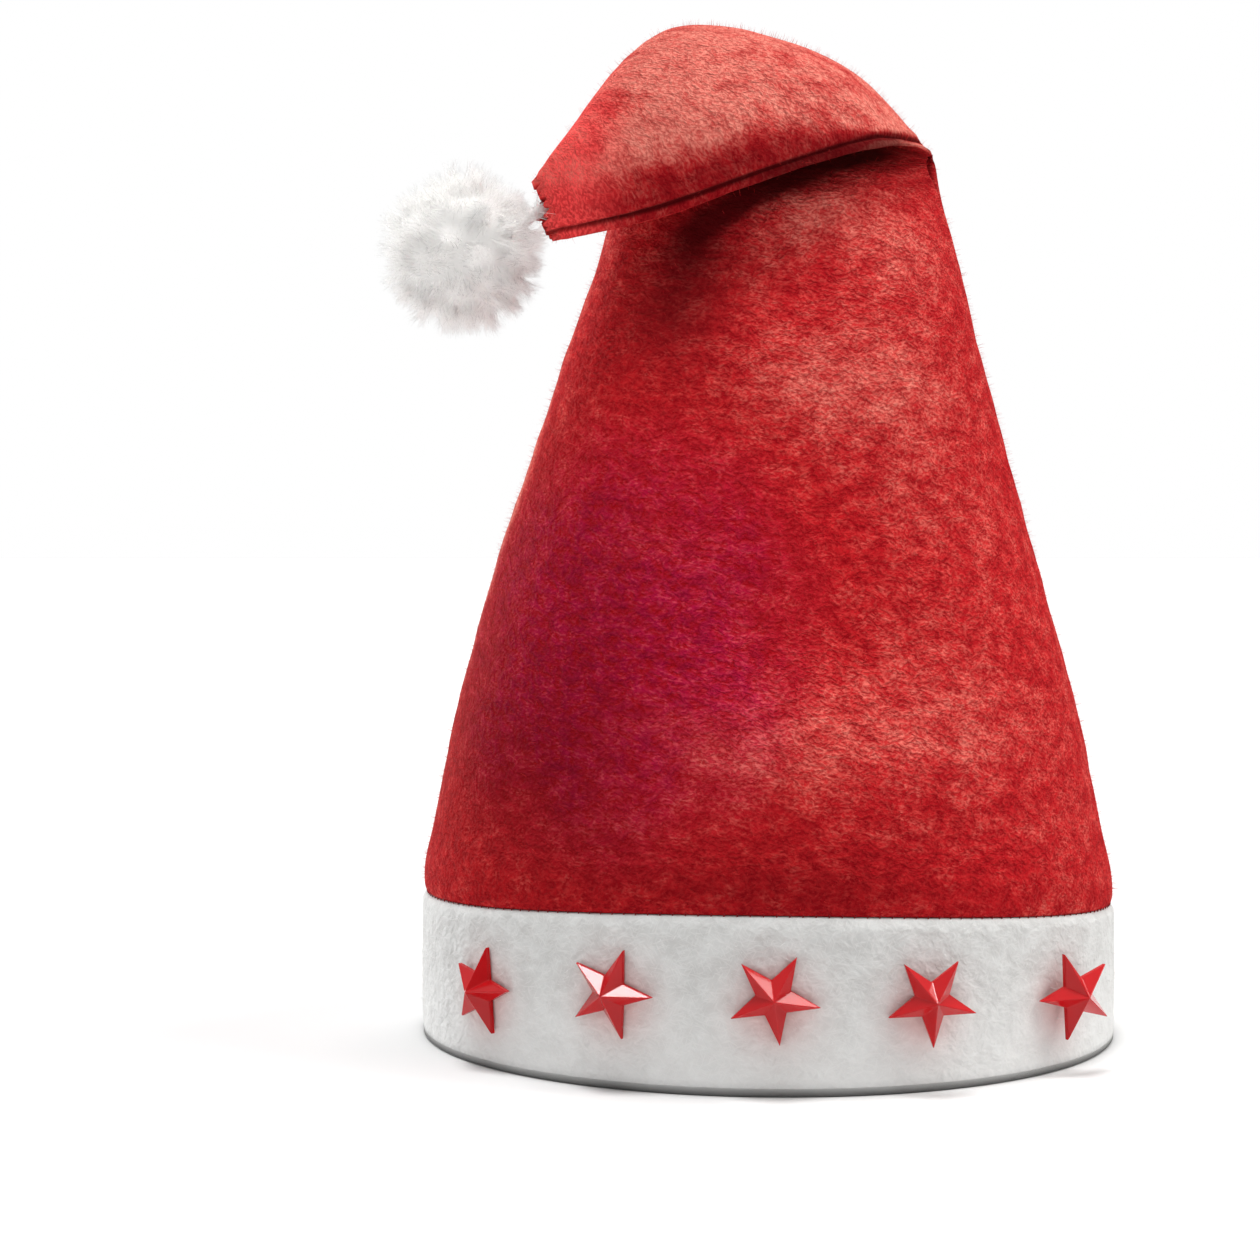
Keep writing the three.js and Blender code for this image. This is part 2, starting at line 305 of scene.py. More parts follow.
redFeltLook = {
    # pale is the colour of painted highlights where the nap and painted light are high
    "deep": colour(0.34, 0.003, 0.008), "mid": colour(0.52, 0.010, 0.015),
    "light": colour(0.72, 0.045, 0.044), "pale": colour(0.82, 0.26, 0.20),
    # dark is the colour of painted shade
    "dull": colour(0.20, 0.002, 0.006), "dark": colour(0.045, 0.001, 0.002),
    "fresh": colour(0.95, 0.075, 0.075), "crimson": colour(0.35, 0.003, 0.042),
    "crimsonDeep": colour(0.22, 0.002, 0.030), "crimsonLight": colour(0.53, 0.018, 0.070),
    "crimsonFleck": colour(0.66, 0.06, 0.10),
    # the crimson patch on the left, in mm from the hat's axis and the floor
    "patchMiddle": (-43.0, -60.0, 106.0), "patchSize": (64.0, 90.0, 66.0),
    "patchFull": 0.65, "patchMost": 0.92, "patchBlotches": (0.6, 0.7),
    "lumpSize": 1.3, "mottling": 0.38, "dulled": 0.4, "napWash": 0.4,
    # how much more of each shows where the nap and painted light are raised, and how much shows everywhere
    "shown": {"Flakes": (0.5, 0.2), "Specks": (0.3, 0.3), "Strands": (0.2, 0.08)}, "freshFlakes": (0.5, 0.4),
    "depth": 0.0008, "shadeFlattens": 0.7,
    "fixed": {"Roughness": 0.95, "Specular IOR Level": 0.02, "Sheen Weight": 0.03, "Sheen Roughness": 0.5,
              "Sheen Tint": colour(1.0, 0.4, 0.3)},
}


def redFelt():
    look = redFeltLook
    material, tree, shader = blankMaterial("redFelt", look["fixed"])
    felt = feltNodes(tree, {"Lump Size": look["lumpSize"]})
    shade = feltAttribute(tree, "shade")
    mottling = times(tree, minus(tree, felt["Mottle"], 0.5), look["mottling"])
    napAndPaintedLight = math2(tree, "ADD", feltAttribute(tree, "napAndPaintedLight"), mottling, clamp=True)
    middle = tuple(hatAxis + np.array(look["patchMiddle"]) * mm)
    size = tuple(s * mm for s in look["patchSize"])
    patch = put(tree, "ShaderNodeMapping", {"Vector": objectPlace(tree), "Location": middle, "Scale": size},
                vector_type="TEXTURE").outputs[0]
    patch = put(tree, "ShaderNodeTexGradient", {"Vector": patch}, gradient_type="SPHERICAL").outputs["Fac"]
    patch = times(tree, patch, linear(tree, felt["Blotches"], *look["patchBlotches"]))
    patch = mapTo(tree, patch, 0.0, look["patchFull"], 0.0, look["patchMost"])
    crimson = mixColour(tree, felt["Mottle"], look["crimsonDeep"], look["crimson"])
    matted = mixColour(tree, felt["Lumps"], look["deep"], mixColour(tree, patch, look["mid"], crimson))
    raised = mixColour(tree, napAndPaintedLight, look["light"], look["pale"])
    wool = mixColour(tree, patch, raised, look["crimsonLight"])
    fleck = mixColour(tree, patch, raised, look["crimsonFleck"])
    dulled = times(tree, minus(tree, 1.0, felt["Mottle"]), look["dulled"])
    matted = mixColour(tree, dulled, matted, look["dull"])
    matted = mixColour(tree, times(tree, times(tree, napAndPaintedLight, napAndPaintedLight), look["napWash"]), matted, wool)
    for layer, tint in (("Flakes", wool), ("Specks", fleck), ("Strands", wool)):
        share = times(tree, felt[layer], linear(tree, napAndPaintedLight, *look["shown"][layer]))
        matted = mixColour(tree, share, matted, tint)
    fresh = times(tree, feltAttribute(tree, "fresh"), linear(tree, felt["Flakes"], *look["freshFlakes"]))
    matted = mixColour(tree, fresh, matted, look["fresh"])
    # painted shade darkens the colour
    tree.links.new(mixColour(tree, shade, matted, look["dark"]), shader["Base Color"])
    relief = times(tree, felt["Height"], minus(tree, 1.0, times(tree, shade, look["shadeFlattens"])))
    tree.links.new(bumpFrom(tree, relief, 1.0, look["depth"]), shader["Normal"])
    return material


whiteFeltLook = {
    "deep": colour(0.545, 0.545, 0.535), "mid": colour(0.62, 0.625, 0.615), "light": colour(0.81, 0.81, 0.80),
    # blush is the colour of painted red light from the stars, and the dark grey that of a painted contact
    # shadow along the foot
    "blush": colour(0.66, 0.24, 0.22), "paintedContactShadow": colour(0.08, 0.08, 0.077),
    "strands": 0.3, "paleShare": 0.7, "blushShare": 0.5, "lumpSize": 2.6, "blotchSize": 18.0,
    "relief": 0.7, "depth": 0.0006,
    "fixed": {"Roughness": 0.95, "Specular IOR Level": 0.1, "Sheen Weight": 0.15, "Sheen Roughness": 0.5},
}


def whiteFelt():
    look = whiteFeltLook
    material, tree, shader = blankMaterial("whiteFelt", look["fixed"])
    felt = feltNodes(tree, {"Lump Size": look["lumpSize"], "Blotch Size": look["blotchSize"]})
    matted = mixColour(tree, felt["Lumps"], look["deep"], look["mid"])
    matted = mixColour(tree, times(tree, felt["Strands"], look["strands"]), matted, look["light"])
    # painted light: the band is lighter towards the bottom and the front
    pale = times(tree, feltAttribute(tree, "pale"), look["paleShare"])
    matted = mixColour(tree, pale, matted, look["light"])
    # painted red light round the stars
    blush = times(tree, feltAttribute(tree, "blush"), look["blushShare"])
    matted = mixColour(tree, blush, matted, look["blush"])
    # painted contact shadow along the foot
    matted = mixColour(tree, feltAttribute(tree, "paintedContactShadow"), matted, look["paintedContactShadow"])
    tree.links.new(matted, shader["Base Color"])
    tree.links.new(bumpFrom(tree, felt["Height"], look["relief"], look["depth"]), shader["Normal"])
    return material


redPlasticLook = {
    "deep": colour(0.56, 0.003, 0.006), "light": colour(0.68, 0.008, 0.012), "flowScale": 180.0,
    "grainScale": 900.0, "roughness": (0.05, 0.12),
    "fixed": {"IOR": 1.49, "Transmission Weight": 0.3, "Specular IOR Level": 0.22},
}


def redPlastic():
    look = redPlasticLook
    material, tree, shader = blankMaterial("redPlastic", look["fixed"])
    place = objectPlace(tree)
    flow = cloudNoise(tree, place, look["flowScale"], 2.0)[0]
    tree.links.new(mixColour(tree, flow, look["deep"], look["light"]), shader["Base Color"])
    grain = cloudNoise(tree, place, look["grainScale"], 2.0)[0]
    tree.links.new(mapTo(tree, grain, 0.0, 1.0, *look["roughness"], kind="LINEAR"), shader["Roughness"])
    return material


lampResinLook = {
    "deep": colour(0.85, 0.55, 0.5), "light": colour(0.95, 0.8, 0.74), "cloudScale": 700.0,
    "roughness": (0.15, 0.3), "fixed": {"IOR": 1.5, "Transmission Weight": 0.3, "Coat Weight": 0.4},
}


def lampResin():
    look = lampResinLook
    material, tree, shader = blankMaterial("lampResin", look["fixed"])
    cloud = cloudNoise(tree, objectPlace(tree), look["cloudScale"], 2.0)[0]
    tree.links.new(mixColour(tree, cloud, look["deep"], look["light"]), shader["Base Color"])
    tree.links.new(mapTo(tree, cloud, 0.0, 1.0, *look["roughness"], kind="LINEAR"), shader["Roughness"])
    return material


# colour at the root, the darkest and the lightest strand, then what the shader keeps fixed
strandLooks = {
    "redFuzz": (colour(0.45, 0.008, 0.012), colour(0.56, 0.012, 0.016), colour(0.82, 0.08, 0.065),
                {"Roughness": 0.9, "Specular IOR Level": 0.02}),
    "whiteFuzz": (colour(0.70, 0.70, 0.69), colour(0.70, 0.70, 0.69), colour(0.90, 0.90, 0.89),
                  {"Roughness": 0.8, "Specular IOR Level": 0.2}),
    "whiteFur": (colour(0.93, 0.925, 0.915), colour(0.97, 0.965, 0.955), colour(0.995, 0.99, 0.985),
                 {"Roughness": 0.8, "Specular IOR Level": 0.2, "Transmission Weight": 0.42, "IOR": 1.1}),
    "redThread": (colour(0.20, 0.008, 0.012), colour(0.14, 0.006, 0.01), colour(0.34, 0.014, 0.02),
                  {"Roughness": 0.8, "Specular IOR Level": 0.2}),
}


# loose fibre and fur: each strand has its own tone and fades to another at its root, which is also the
# colour of what has no tip, the thread and the pompom's core
def strandMaterial(name):
    root, dark, light, fixed = strandLooks[name]
    material, tree, shader = blankMaterial(name, fixed)
    toned = mixColour(tree, feltAttribute(tree, "tone"), dark, light)
    tree.links.new(mixColour(tree, feltAttribute(tree, "tip"), root, toned), shader["Base Color"])
    return material


finishes = {
    "redFelt": redFelt(), "whiteFelt": whiteFelt(), "redPlastic": redPlastic(), "lampResin": lampResin(),
}
for finish in strandLooks:
    finishes[finish] = strandMaterial(finish)
print("materials made:", len(finishes))


# the band's sizes, which the crown's hem follows, in mm
band = {
    "radius": 92.0, "wall": 2.4, "height": 39.5, "crest": 3.0, "lean": 1.2, "columns": 320,
    "outerRows": (0.05, 0.95, 26), "innerRows": (0.9, 0.08, 10), "edgeRows": 9, "fuzzyEdge": 2,
    "bulge": 0.3, "topInset": 0.5, "topRound": 0.9, "topFrom": 0.3, "footRound": 0.5, "footTo": 0.2,
    "wave": 0.25, "waveLengths": (24.0, 8.0), "waveFlatten": 0.6, "waveShare": 0.4, "calmBelow": 6.0,
    # the reach and drop of the painted red light round the stars, and the painted contact shadow at the foot
    "blushReach": 8.5, "blushDrop": 2.0, "paintedContactShadow": 0.95, "paintedContactShadowHeight": 1.5,
    # how far up and back the painted light of the lower front reaches
    "paleHeight": 26.0, "paleDepth": 60.0, "fuzzFrom": 3.0, "fuzzOver": 3.0,
}

# the crown: two felt panels between a right and a left seam, folded forward at the tip, in mm
crown = {
    "wall": 2.0, "columns": 208, "rowStep": 2.3, "hemRows": (11.0, 22.0, 0.6), "crowding": 0.92,
    "riseFrom": 50.0, "riseTo": 110.0, "plainBelow": 44.0, "plainOver": 20.0,
    "bodySeam": -3.0, "flapSeam": 2.6, "panelGap": 600.0,
    "foldFrom": 8.4, "foldOver": 2.2,  # where the fold starts and how far it goes, in rows of the lists below
    "grooveDepth": 1.0, "grooveWidth": 0.6, "puff": 0.35, "puffAway": 2.6, "puffWidth": 1.5,
    "pucker": 0.3, "puckerReach": 5.0, "puckerLength": 5.5,
    "wave": 0.8, "waveLengths": (28.0, 10.0), "waveShare": 0.3,
    "endReach": 9.0, "endRagged": ((4.0, 4.6), (3.0, 1.6)),  # height and length of the cut end's teeth
    # height, then the distance of the right seam, left seam, back and front from the axis
    "body": [
        (26, 89.2, 89.2, 89.2, 89.2), (39.2, 89.2, 89.2, 89.2, 89.2), (39.9, 91.1, 91.1, 91.1, 91.1),
        (46, 91.4, 91.6, 91.4, 91.4), (59, 88.5, 88.7, 88.2, 88.2), (94, 80.4, 80.6, 79, 79),
        (150, 63.8, 63.6, 62, 62), (206, 50, 44.8, 44, 42)],
    # right seam, left seam, how far back and front stand off the line between them, and how flat they meet
    # the right and the left seam
    "fold": [
        ((45.6, -2, 223), (-39.3, 3, 227), 37, 28, 1.3, 1),
        ((43.8, -4.5, 230.5), (-33.8, 5, 246), 28, 12, 1.8, 0.95),
        ((43, -7, 232.2), (-31, 5, 256), 20, 5, 2.1, 0.85),
        ((41.2, -11, 233), (-28.5, 3.5, 261), 14.6, 3.5, 2.5, 0.8),
        ((36.8, -19, 233), (-29, 0, 262.3), 13.4, 3.2, 2.3, 0.85),
        ((26, -31, 231), (-33, -6, 260), 14, 3.4, 1.8, 0.95),
        ((3, -41, 223), (-41, -14, 251), 13, 4, 1.3, 1),
        ((-28, -39, 213), (-50.6, -22, 237), 10, 4.4, 1.2, 1),
        ((-57, -31, 207), (-61, -28, 223.4), 3.2, 3.0, 1, 1)],
    # middle across and up, width, height and how far it stands out
    "frontDents": [
        (22, 161, 26, 20, 2.6), (12, 105, 32, 19, -4), (30, 76, 40, 15, 2.8), (-15, 206, 26, 22, -8),
        (-28, 112, 22, 28, 2.4), (-62, 66, 18, 14, -2.4)],
    "backDents": [
        (-20, 142, 26, 24, -2.6), (26, 92, 30, 20, -2.2), (-34, 76, 30, 16, 1.8), (14, 190, 20, 22, 1.5)],
}
crownSteps = len(crown["body"]) + len(crown["fold"]) - 1


# a centripetal Catmull-Rom curve through the rows, read from 0 at the first to 1 at the last
def smoothThrough(rows):
    rows = np.array(rows, float)
    padded = np.vstack([2 * rows[0] - rows[1], rows, 2 * rows[-1] - rows[-2]])

    def at(places):
        run = np.clip(places, 0, 1) * (len(rows) - 1)
        first = np.minimum(run.astype(int), len(rows) - 2)
        w = (run - first)[:, None]
        a, b, c, d = (padded[first + k] for k in range(4))
        gaps = [np.sqrt(np.linalg.norm(q - p, axis=1))[:, None] for p, q in ((a, b), (b, c), (c, d))]
        mid = np.where(gaps[1] < 1e-4, 1.0, gaps[1])
        low = np.where(gaps[0] < 1e-4, mid, gaps[0])
        high = np.where(gaps[2] < 1e-4, mid, gaps[2])
        leave = ((b - a) / low - (c - a) / (low + mid) + (c - b) / mid) * mid
        arrive = ((c - b) / mid - (d - b) / (mid + high) + (d - c) / high) * mid
        square, cube = 3 * (c - b) - 2 * leave - arrive, 2 * (b - c) + leave + arrive
        return b + leave * w + square * w**2 + cube * w**3
    return at


rightSeam = smoothThrough([(r, 0, z) for z, r, l, b, f in crown["body"]] + [s[0] for s in crown["fold"]])
leftSeam = smoothThrough([(-l, 0, z) for z, r, l, b, f in crown["body"]] + [s[1] for s in crown["fold"]])
standOff = smoothThrough([(b, f) for z, r, l, b, f in crown["body"]] + [s[2:4] for s in crown["fold"]])
pinches = smoothThrough([(1, 1)] * len(crown["body"]) + [s[4:6] for s in crown["fold"]])


def seamMiddle(places):
    return (rightSeam(places) + leftSeam(places)) / 2


# the band's upper edge stands higher at the front and back than at the sides
def bandRise(x, y):
    away = np.hypot(x, y)
    return band["crest"] * (y * y - x * x) / away**2 - band["lean"] * x / away


def dentsAt(dents, x, z):
    return sum(
        out * np.exp(-((x - dx) / wide) ** 2 - ((z - dz) / tall) ** 2) for dx, dz, wide, tall, out in dents)


def crownOnward(places):
    return seamMiddle(np.minimum(places + 1e-3, 1)) - seamMiddle(np.maximum(places - 1e-3, 0))


def crownSkin(places, angles, inset):
    middle = seamMiddle(places)
    half = rightSeam(places) - middle
    toBack = np.cross(crownOnward(places), half)
    toBack /= np.linalg.norm(toBack, axis=1, keepdims=True)
    half = half * (1 - inset / np.linalg.norm(half, axis=1, keepdims=True))
    off, pinch = standOff(places), pinches(places)
    onBack = angles < math.pi
    toRight = (1 + np.cos(angles)) / 2
    swell = np.abs(np.sin(angles)) ** (pinch[:, 1:] * (1 - toRight) + pinch[:, :1] * toRight)
    points = middle[:, None] + half[:, None] * np.cos(angles)[None, :, None]
    x, z = points[..., 0], points[..., 2]
    upright = np.clip(len(crown["body"]) - places * crownSteps, 0, 1)[:, None]
    dents = upright * np.where(onBack, dentsAt(crown["backDents"], x, z), dentsAt(crown["frontDents"], x, z))
    out = (np.where(onBack, off[:, :1], off[:, 1:]) - inset + dents) * swell * np.where(onBack, 1, -1)
    points = points + toBack[:, None] * out[..., None]
    fade = np.clip((crown["riseTo"] - points[..., 2]) / (crown["riseTo"] - crown["riseFrom"]), 0, 1)
    points[..., 2] += fade * bandRise(points[..., 0], points[..., 1])
    return points


def ripple(points, wavelength, seed):
    shift = Vector((seed * 7.3, seed * 3.1, seed * 5.7))
    flat = points.reshape(-1, 3) / wavelength
    return np.array([noise.noise(Vector(p) + shift) for p in flat]).reshape(points.shape[:-1])


def skinNormals(points):
    around = np.roll(points, -1, 1) - np.roll(points, 1, 1)
    upward = np.gradient(points, axis=0)
    normal = np.cross(around, upward)
    return normal / np.maximum(np.linalg.norm(normal, axis=2, keepdims=True), 1e-9)


# a tube's outer and inner skin, and the two rims that join them
def wallFaces(rows, columns):
    faces = []
    for column in range(columns):
        after = (column + 1) % columns
        for row in range(rows - 1):
            a, b = row * columns, (row + 1) * columns
            faces.append((a + column, a + after, b + after, b + column))
            c, d = a + rows * columns, b + rows * columns
            faces.append((c + after, c + column, d + column, d + after))
        end, inner = (rows - 1) * columns, rows * columns
        faces.append((inner + column, inner + after, after, column))
        faces.append((end + column, end + after, inner + end + after, inner + end + column))
    return faces


# where raised nap, painted light and painted shade lie on the crown's felt, in mm from the hat's axis and the
# floor
crownTones = {
    "napAndPaintedLight": 0.16, "flapTopLight": 0.8, "rimLight": 0.8, "endNap": 0.5, "freshFlattens": 0.3,
    # middle across and up, width, height and strength of each place on the front: painted highlights, painted
    # shade in the nap and painted shade in the colour
    "paintedHighlights": [
        (20, 171, 26, 15, 0.55), (28, 85, 34, 12, 0.36), (70, 60, 20, 30, 0.12), (-22, 118, 16, 14, 0.2),
        (-14, 82, 24, 12, 0.25), (30, 130, 22, 22, 0.25), (36, 205, 16, 14, 0.3), (12, 212, 18, 10, 0.32)],
    "shaded": [(-40, 150, 28, 40, 0.2), (-70, 75, 25, 40, 0.25), (8, 128, 18, 14, 0.3), (0, 50, 60, 9, 0.3)],
    "paintedShade": [
        (-18, 212, 9, 6, 0.6), (-21, 205, 9, 8, 0.5), (-25, 189, 13, 19, 0.58), (-60, 72, 28, 32, 0.46),
        (-46, 118, 14, 26, 0.2), (0, 50, 46, 12, 0.45)],
    # the flap's right edge: how near its tones come to the seam, by the place across
    "nearness": ([0, 26], [1, 0.12]), "edgeBare": 7.0, "edgeDark": 13.0, "edgeDarkOver": 8.0,
    "topFrom": (218.0, 205.0), "topOver": (46.0, 14.0),  # painted top light, on the body and on the flap
    "freshFrom": 36.0, "freshOver": 14.0,
    "rimShare": (0.45, 1.0), "rimWidth": (22.0, 10.0),  # painted rim light by the left seam, on the back and on the front
    "rimMiddle": 132.0, "rimHeight": 34.0, "rimLeast": 0.5,
    "broadNap": (0.12, 30.0), "tuftNap": (0.1, 0.4), "tuftLengths": (13.0, 5.5), "tuftShare": 0.6,
    # the flap's shadow on the front: its edge, how deep it is full, and where it starts and ends across
    "flapEdge": ([-28, 4, 26, 37], [214.6, 224.8, 231.0, 233.5]), "shadowDepth": ([-14, 24], [7.0, 1.0]),
    "shadowFade": 5.0, "shadowPower": 1.5, "shadowFrom": (-22.0, 14.0), "shadowTo": (36.0, 8.0),
    "underside": 0.5, "undersideFrom": (-52.0, 22.0),
    "roll": 0.85, "rollWidth": (16.0, 6.0), "rollFrom": (-30.0, 30.0), "rollTo": (40.0, 8.0),
    "groove": 0.75, "bodyShare": 1.4, "darkest": 0.95,
    "fuzzFrom": 40.0, "fuzzOver": 1.5, "fuzzInGroove": 0.7, "fuzzInShade": 0.9, "fuzzAtEnd": 5.0,
}


def between(ends, share):
    return ends[0] + (ends[1] - ends[0]) * share


def fadeOut(value, ends):
    return ramp(-value, -ends[0], ends[1])


# raised nap with painted light, brighter red at the flap's left end, painted shade and loose fibre at each
# point of the outer skin
def crownTone(outer, onFront, onFlap, fromRight, fromLeft, groove, plainHem, atEnd):
    tone = crownTones
    x, y, z = outer[..., 0], outer[..., 1], outer[..., 2]
    onBack = 1 - onFront
    near = np.interp(x, *tone["nearness"])
    edgeAway = np.abs(fromRight)

    # raised nap and painted light: painted top light over the flap, raised nap at its cut end, painted rim
    # light by the left seam and painted highlights on the swellings of the front
    paintedHighlights = dentsAt(tone["paintedHighlights"], x, z) * onFront
    shaded = dentsAt(tone["shaded"], x, z) * onFront
    topFrom, topOver = between(tone["topFrom"], onFlap), between(tone["topOver"], onFlap)
    bare = tone["edgeBare"] * near
    flapTop = ramp(edgeAway, bare, bare) * ramp(z, topFrom, topOver) * onBack
    leftEnd = ramp(-x, tone["freshFrom"], tone["freshOver"]) * onFlap
    rim = between(tone["rimShare"], onFront) * hill(fromLeft, 0, between(tone["rimWidth"], onFront))
    rim = rim * (tone["rimLeast"] + hill(z, tone["rimMiddle"], tone["rimHeight"])) * (1 - onFlap)
    broad, broadLength = tone["broadNap"]
    long, short = tone["tuftLengths"]
    tufts = ripple(outer, long, 10) + tone["tuftShare"] * ripple(outer, short, 11)
    uneven = broad * ripple(outer, broadLength, 9) + between(tone["tuftNap"], flapTop) * tufts
    # painted top light over the flap and painted rim light by the left seam
    worn = tone["flapTopLight"] * flapTop * (1 - tone["freshFlattens"] * leftEnd) + tone["rimLight"] * rim
    napAndPaintedLight = np.clip(tone["napAndPaintedLight"] + paintedHighlights - shaded + worn + tone["endNap"] * atEnd + uneven, 0, 1)

    # painted shade: in the seam grooves, the flap's shadow in the fold below it, on the flap's underside, on
    # the roll below its seam and near the hem
    deep = np.interp(x, *tone["flapEdge"]) - z - np.interp(x, *tone["shadowDepth"])
    shadow = np.clip(1 - deep / tone["shadowFade"], 0, 1) ** tone["shadowPower"]
    shadow = shadow * ramp(x, *tone["shadowFrom"]) * fadeOut(x, tone["shadowTo"])
    # painted shadow below the flap's edge and painted shade patches on the front
    paintedShade = (shadow + dentsAt(tone["paintedShade"], x, z)) * onFront
    underside = tone["underside"] * ramp(-edgeAway, -tone["edgeDark"] * near, tone["edgeDarkOver"] * near)
    underside = underside * ramp(x, *tone["undersideFrom"]) * onFlap * onBack
    width, widthFade = tone["rollWidth"]
    roll = tone["roll"] * onFlap * np.clip(-fromRight, 0, 1) * ramp(fromRight, -width, widthFade)
    roll = roll * ramp(x, *tone["rollFrom"]) * fadeOut(x, tone["rollTo"])
    onBody = np.clip(tone["bodyShare"] * (1 - onFlap), 0, 1)
    shade = tone["groove"] * groove * plainHem + np.maximum(underside, roll) + paintedShade * onBody
    shade = np.clip(shade, 0, tone["darkest"])

    fuzz = ramp(z - bandRise(x, y), tone["fuzzFrom"], tone["fuzzOver"])
    fuzz = fuzz * (1 - tone["fuzzInGroove"] * groove) * (1 - tone["fuzzInShade"] * shade)
    fuzz = fuzz * (1 + tone["fuzzAtEnd"] * atEnd**4)
    return {"napAndPaintedLight": napAndPaintedLight, "fresh": leftEnd * onBack, "shade": shade, "fuzz": fuzz}


# rows by their distance along the felt, closer together where the hem turns over the band
def crownRows():
    coarse = np.linspace(0, 1, 20 * crownSteps + 1)
    paths = crownSkin(coarse, np.radians([0.0, 90.0, 180.0, 270.0]), 0)
    run = np.concatenate([[0], np.cumsum(np.linalg.norm(np.diff(paths, axis=0), axis=2).max(1))])
    rowRun = np.linspace(0, run[-1], int(run[-1] / crown["rowStep"]))
    hemFrom, hemTo, hemStep = crown["hemRows"]
    others = rowRun[(rowRun < hemFrom) | (rowRun > hemTo)]
    rowRun = np.sort(np.concatenate([others, np.arange(hemFrom, hemTo, hemStep)]))
    return rowRun, np.interp(rowRun, run, coarse)


def makeCrown():
    look = crown
    rowRun, places = crownRows()
    share = np.arange(look["columns"]) / look["columns"]
    angles = 2 * math.pi * (share - look["crowding"] * np.sin(4 * math.pi * share) / (4 * math.pi))
    outer, inner = crownSkin(places, angles, 0), crownSkin(places, angles, look["wall"])
    normal = skinNormals(outer)
    rows, columns = outer.shape[:2]

    # distance along the felt from each seam; the right one lies a little to the front on the body and
    # to the back on the flap
    step = np.linalg.norm(np.roll(outer, -1, 1) - outer, axis=2)
    around = np.concatenate([np.zeros((rows, 1)), np.cumsum(step, 1)[:, :-1]], 1)
    girth = step.sum(1, keepdims=True)
    fromRight = np.where(around > girth / 2, around - girth, around)
    foldStart = places[np.searchsorted(places, look["foldFrom"] / crownSteps)]
    onFlap = np.clip((places - foldStart) * crownSteps / look["foldOver"], 0, 1)[:, None]
    fromRight = fromRight - (look["bodySeam"] * (1 - onFlap) + look["flapSeam"] * onFlap)
    fromLeft = around - around[:, columns // 2][:, None]
    seamAway = np.minimum(np.abs(fromRight), np.abs(fromLeft))
    groove = hill(seamAway, 0, look["grooveWidth"])
    puff = hill(seamAway, look["puffAway"], look["puffWidth"])
    pucker = np.exp(-seamAway / look["puckerReach"]) * ripple(outer, look["puckerLength"], 3)

    plainHem = ramp(outer[..., 2], look["plainBelow"], look["plainOver"])
    broad, fine = look["waveLengths"]
    wave = look["wave"] * ripple(outer, broad, 1) + look["waveShare"] * look["wave"] * ripple(outer, fine, 2)
    out = plainHem * (wave + look["puff"] * puff + look["pucker"] * pucker - look["grooveDepth"] * groove)
    outer = outer + normal * out[..., None]
    inner = inner + normal * (plainHem * wave)[..., None]

    # the cut end is not quite straight
    onward = crownOnward(places)
    onward /= np.linalg.norm(onward, axis=1, keepdims=True)
    atEnd = np.clip((rowRun - rowRun[-1] + look["endReach"]) / look["endReach"], 0, 1)[:, None] ** 2
    (long, longLength), (short, shortLength) = look["endRagged"]
    ragged = long * ripple(outer, longLength, 4) + short * ripple(outer, shortLength, 5)
    outer = outer + onward[:, None] * (atEnd * ragged)[..., None]
    inner = inner + onward[:, None] * (atEnd * ragged)[..., None]

    points = np.concatenate([outer.reshape(-1, 3), inner.reshape(-1, 3)]) * mm + hatAxis
    mesh = meshFrom("crownFelt", points, wallFaces(rows, columns))

    # each panel has its own map, measured from its middle, and the back one lies apart from the front one
    def across(face, corner):
        column, ofFace = corner % columns, face // (2 * rows)
        row = corner // columns % rows
        run = np.where((ofFace == columns - 1) & (column == 0), girth[row, 0], around[row, column])
        onBack = ofFace < columns // 2
        return run - girth[row, 0] * np.where(onBack, 0.25, 0.75) + np.where(onBack, look["panelGap"], 0.0)

    cutMap(mesh, across, lambda face, corner: rowRun[corner // columns % rows])
    onFront = np.where(angles < math.pi, 0.0, 1.0)
    tones = crownTone(outer, onFront, onFlap, fromRight, fromLeft, groove, plainHem, atEnd)
    for name, values in tones.items():
        pointValues(mesh, name, np.concatenate([values.ravel(), np.zeros(rows * columns)]))
    print("crownFelt rows", rows, "felt area", feltArea(mesh), "seam length", round(rowRun[-1]))
    return pieceFrom("crownFelt", mesh, finishes["redFelt"])


crownFelt = makeCrown()


# the band: a felt ring with rounded edges; how far out, the share of its height and the lift of each row
def bandSection():
    wall, curve = band["wall"], band["wall"] / 2
    shares = np.linspace(*band["outerRows"])
    section = [(swell, share, 0.0) for share, swell in zip(shares, band["bulge"] * np.sin(np.pi * shares))]
    rise = band["topRound"] * curve
    for a in np.linspace(band["topFrom"], math.pi, band["edgeRows"]):
        section.append((-band["topInset"] - curve + curve * math.cos(a), 1.0, -rise + rise * math.sin(a)))
    section += [(-wall, share, 0.0) for share in np.linspace(*band["innerRows"])]
    drop = band["footRound"] * curve
    for a in np.linspace(math.pi, 2 * math.pi - band["footTo"], band["edgeRows"]):
        section.append((-curve + curve * math.cos(a), 0.0, drop + drop * math.sin(a)))
    return section, len(shares) + band["fuzzyEdge"]


# painted red light that the clear stars throw on the felt round them
def paintedStarLight(points):
    blush = np.zeros(points.shape[:-1])
    for number in starNumbers:
        low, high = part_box(f"star_{number}")
        seat = (np.array(low + high) / 2 - hatAxis) / mm
        seat[:2] *= band["radius"] / np.hypot(*seat[:2])
        away = np.linalg.norm(points - seat + (0, 0, band["blushDrop"]), axis=2)
        blush = np.maximum(blush, hill(away, 0, band["blushReach"]))
    return blush


